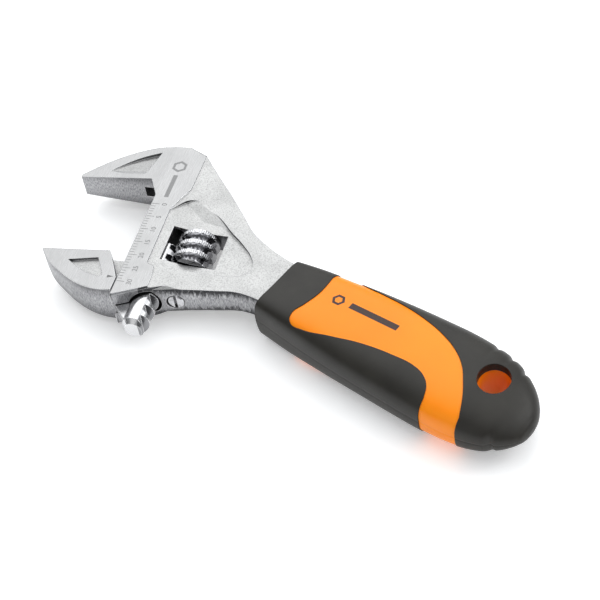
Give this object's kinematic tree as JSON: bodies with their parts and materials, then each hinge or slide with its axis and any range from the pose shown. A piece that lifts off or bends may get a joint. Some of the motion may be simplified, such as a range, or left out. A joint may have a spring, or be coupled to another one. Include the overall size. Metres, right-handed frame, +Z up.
{
  "type": "adjustable wrench",
  "caption": "Short adjustable wrench with wide thin jaws turned by a knurled worm, a millimetre scale on the rail and a two-colour soft-grip hanging handle.",
  "frame": {"origin": "middle of the lower side of the box round the whole tool, lying flat with the jaws as modelled", "axes": "+X along the handle from the jaws to the hanging hole, +Y towards the fixed jaw, +Z up out of the marked face"},
  "size_m": [0.1586, 0.0602, 0.0157],
  "materials": {
    "forged_steel": "satin chrome over forged steel, ground on the jaws and rail",
    "jaw_steel": "satin chrome over forged steel",
    "bright_chrome": "bright chrome, knurled crests",
    "pin_steel": "bright, slotted end",
    "spring_steel": "plain wire",
    "orange_plastic": "smooth, semi-gloss",
    "black_grip": "matte, fine texture"
  },
  "bodies": {
    "wrench": {"wrench_body": "forged_steel", "worm_pin": "pin_steel", "worm_spring": "spring_steel", "handle_core": "orange_plastic", "front_grip": "black_grip", "rear_grip": "black_grip"},
    "jaw": {"movable_jaw": "jaw_steel"},
    "worm": {"worm": "bright_chrome"}
  },
  "joints": [
    {"name": "jaw_slide", "type": "slide", "parent": "wrench", "child": "jaw", "axis": [0.3827, -0.9239, 0], "range_m": [-0.029, 0.003]},
    {"name": "worm_spin", "type": "hinge", "parent": "wrench", "child": "worm", "pos_m": [-0.03119, 0.00019, 0.00785], "axis": [0.3827, -0.9239, 0], "range_deg": [-284.4, 2747.6]}
  ],
  "couplings": [
    {"joint": "worm_spin", "follows": "jaw_slide", "rad_per_m": -1653.5}
  ]
}
